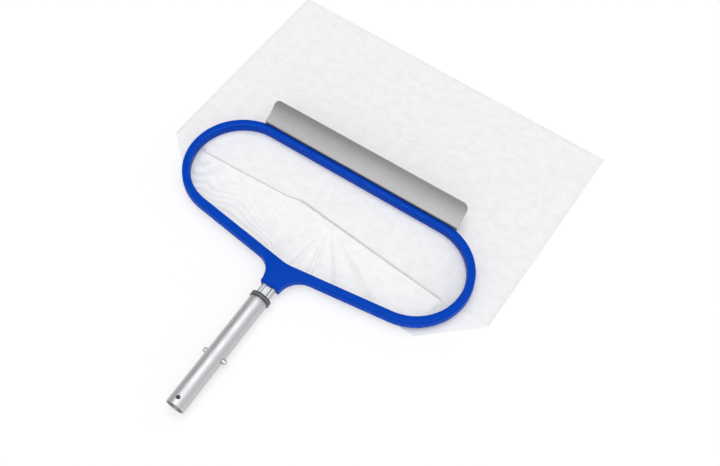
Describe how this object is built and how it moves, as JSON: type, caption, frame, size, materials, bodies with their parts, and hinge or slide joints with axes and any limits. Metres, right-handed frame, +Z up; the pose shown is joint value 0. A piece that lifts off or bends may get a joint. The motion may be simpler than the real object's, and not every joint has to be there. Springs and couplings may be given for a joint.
{
  "type": "leaf skimmer net",
  "caption": "Wide moulded frame with a fine mesh bag, a curled scraper blade and a short tube handle whose sprung snap buttons lock it into a telescopic pole.",
  "frame": {"origin": "centre of the handle tube's open end, on the tube's axis", "axes": "+Y along the handle towards the front bar and the far seam of the bag; +Z up, out of the frame's mouth; +X to the right, seen from the handle with the mouth up"},
  "size_m": [0.6098, 0.7402, 0.0482],
  "materials": {
    "frame": "smooth moulded polypropylene, satin gloss",
    "cord": "braided bead cord",
    "net": "fine white polyester mesh",
    "blade": "soft matt vinyl",
    "aluminium": "satin, lightly drawn along its length",
    "plug": "moulded nylon",
    "ring": "matt",
    "button": "nickel plated",
    "fastener": "stainless"
  },
  "bodies": {
    "net": {"frame_rim": "frame", "hem_cord": "cord", "hem_front": "net", "hem_back": "net", "lock_strip_front": "frame", "lock_strip_left": "frame", "lock_strip_right": "frame", "front_panel": "net", "back_panel": "net", "side_seam_left": "net", "side_seam_right": "net", "end_seam": "net", "scraper_blade": "blade", "scraper_rivets": "fastener", "stem": "aluminium", "stem_screws": "fastener", "tube_plug": "plug", "collar_ring": "ring", "plug_screw": "fastener", "handle_tube": "aluminium", "v_spring": "fastener"},
    "button_left": {"snap_button_left": "button"},
    "button_right": {"snap_button_right": "button"}
  },
  "joints": [
    {"name": "left_button_press", "type": "slide", "parent": "net", "child": "button_left", "axis": [1, 0, 0], "range_m": [0, 0.0061], "stiffness_N_per_m": 2500, "deforming": ["v_spring"]},
    {"name": "right_button_press", "type": "slide", "parent": "net", "child": "button_right", "axis": [-1, 0, 0], "range_m": [0, 0.0061], "stiffness_N_per_m": 2500, "deforming": ["v_spring"]}
  ]
}
